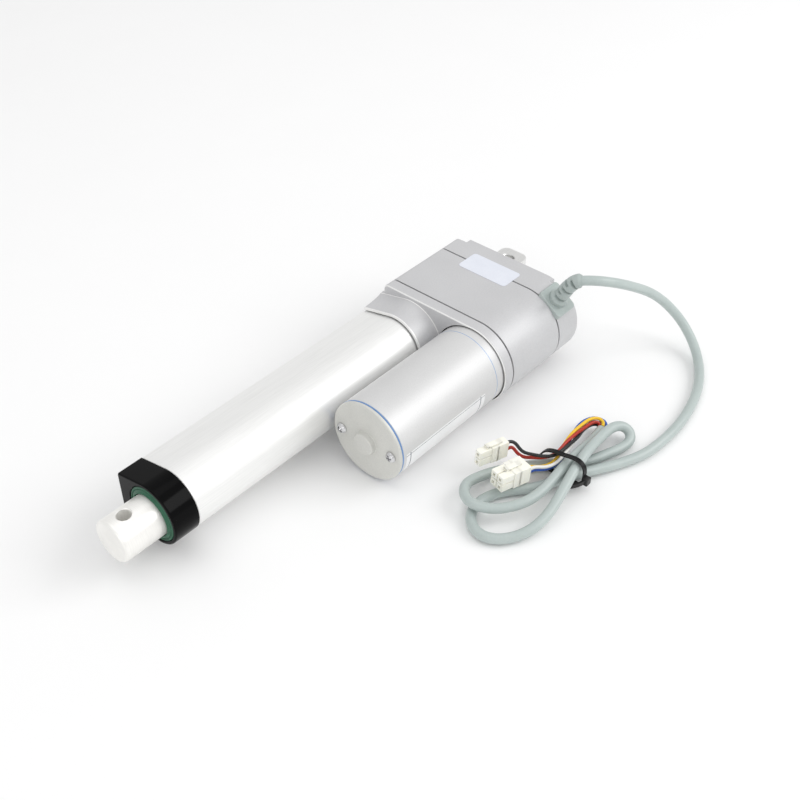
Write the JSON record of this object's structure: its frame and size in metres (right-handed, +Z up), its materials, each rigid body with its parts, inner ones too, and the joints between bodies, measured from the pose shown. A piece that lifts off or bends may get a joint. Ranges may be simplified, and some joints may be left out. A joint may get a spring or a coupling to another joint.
{
  "type": "linear actuator",
  "caption": "Electric linear actuator with a round rod in an extruded tube, a motor beside it, a gear housing, a rear clevis and a coiled cord with plugs.",
  "frame": {"origin": "middle of the base of the actuator's bounding box, cord left out", "axes": "+X along the rod toward its tip, +Y from the tube toward the motor, +Z up from the face it lies on"},
  "size_m": [0.2919, 0.1486, 0.0567],
  "materials": {
    "anodised": "satin anodised",
    "cap_black": "smooth black moulding",
    "seal_green": "matte",
    "blue_rubber": "matte",
    "gasket": "matte",
    "housing_paint": "satin silver paint on cast zinc",
    "motor_paint": "satin silver paint on drawn steel",
    "steel": "bright steel",
    "magnet": "dark sintered ferrite",
    "bronze": "sintered bronze and brass",
    "nylon": "natural nylon",
    "black_plastic": "black moulding",
    "board": "circuit board",
    "label": "coated paper",
    "jacket_grey": "soft grey PVC",
    "wire_black": "PVC insulation",
    "wire_red": "PVC insulation",
    "wire_yellow": "PVC insulation",
    "wire_white": "PVC insulation",
    "wire_blue": "PVC insulation"
  },
  "bodies": {
    "body": {"outer_tube": "anodised", "front_cap": "cap_black", "wiper_seal": "seal_green", "guide_bush": "nylon", "front_housing": "housing_paint", "gasket_front": "gasket", "middle_housing": "housing_paint", "gasket_rear": "gasket", "rear_cover": "housing_paint", "rear_clevis": "anodised", "motor_can": "motor_paint", "motor_end_cap": "motor_paint", "motor_seal_ring": "blue_rubber", "motor_screw_left": "steel", "motor_screw_right": "steel", "magnet_upper": "magnet", "magnet_lower": "magnet", "brush_plate": "board", "brush_upper": "black_plastic", "brush_lower": "black_plastic", "motor_front_bush": "bronze", "motor_rear_bush": "bronze", "housing_screw_1": "steel", "housing_screw_2": "steel", "housing_screw_3": "steel", "housing_screw_4": "steel", "bearing_outer_ring": "steel", "bearing_ball_cage": "bronze", "switch_strip": "board", "limit_switch_front": "black_plastic", "limit_switch_rear": "black_plastic", "hall_board": "board", "gear_shaft": "steel", "seal_label": "label", "motor_label": "label", "cable_gland": "jacket_grey", "cable_jacket": "jacket_grey", "wire_black": "wire_black", "wire_red": "wire_red", "wire_yellow": "wire_yellow", "wire_white": "wire_white", "wire_blue": "wire_blue", "connector_motor": "nylon", "connector_sensor": "nylon", "cable_tie": "black_plastic"},
    "rod": {"rod_tube": "anodised", "rod_end": "anodised", "drive_nut": "nylon", "nut_collar": "black_plastic"},
    "screw": {"lead_screw": "steel", "screw_gear": "nylon", "bearing_inner_ring": "steel", "magnet_ring": "magnet"},
    "idler": {"idler_gear": "nylon"},
    "rotor": {"rotor_shaft": "steel", "rotor_core": "steel", "rotor_winding_front": "bronze", "rotor_winding_rear": "bronze", "commutator": "bronze", "motor_pinion": "bronze"}
  },
  "joints": [
    {"name": "rotor_spin", "type": "hinge", "parent": "body", "child": "rotor", "pos_m": [0, 0.018, 0.021], "axis": [1, 0, 0], "range_deg": [0, 87750]},
    {"name": "idler_spin", "type": "hinge", "parent": "body", "child": "idler", "pos_m": [-0.07, 0, 0.021], "axis": [1, 0, 0], "range_deg": [-29251, 1]},
    {"name": "screw_spin", "type": "hinge", "parent": "body", "child": "screw", "pos_m": [-0.07, -0.019, 0.021], "axis": [1, 0, 0], "range_deg": [-1, 13501]},
    {"name": "rod_slide", "type": "slide", "parent": "body", "child": "rod", "axis": [1, 0, 0], "range_m": [0, 0.15]}
  ],
  "couplings": [
    {"joint": "idler_spin", "follows": "rotor_spin", "ratio": -0.33333},
    {"joint": "screw_spin", "follows": "rotor_spin", "ratio": 0.15385},
    {"joint": "rod_slide", "follows": "rotor_spin", "m_per_rad": 0.000097941}
  ]
}
